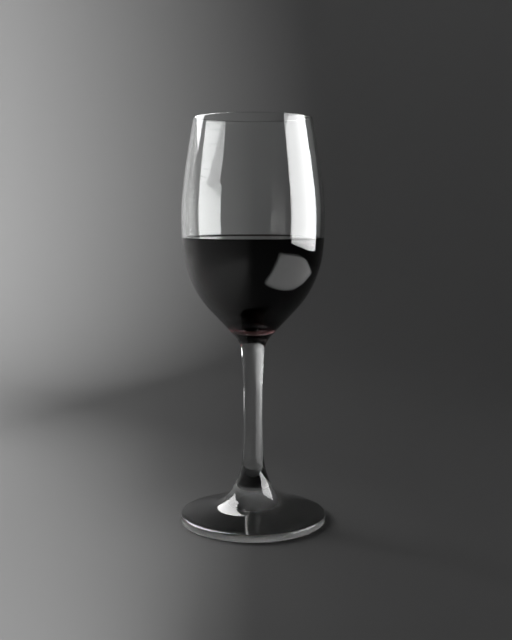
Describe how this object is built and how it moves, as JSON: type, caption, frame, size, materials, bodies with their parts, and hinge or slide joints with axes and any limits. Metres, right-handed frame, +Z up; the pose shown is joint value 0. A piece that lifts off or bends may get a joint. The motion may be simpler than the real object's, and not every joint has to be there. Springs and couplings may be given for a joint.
{
  "type": "glass of red wine",
  "caption": "Clear stemmed wine glass with a slightly tapered bowl, slim drawn stem and round foot, holding red wine up to the widest part of the bowl.",
  "frame": {"origin": "middle of the circle that the foot stands on, at table height", "axes": "+Z up along the axis of the stem and bowl; the glass is turned about Z, so X and Y are any two level directions"},
  "size_m": [0.0734, 0.0734, 0.2],
  "materials": {
    "clear_glass": "clear colourless glass, fire-polished",
    "red_wine": "deep red clear liquid with a still, glossy surface"
  },
  "bodies": {
    "root": {"glass": "clear_glass", "wine": "red_wine"}
  },
  "joints": []
}
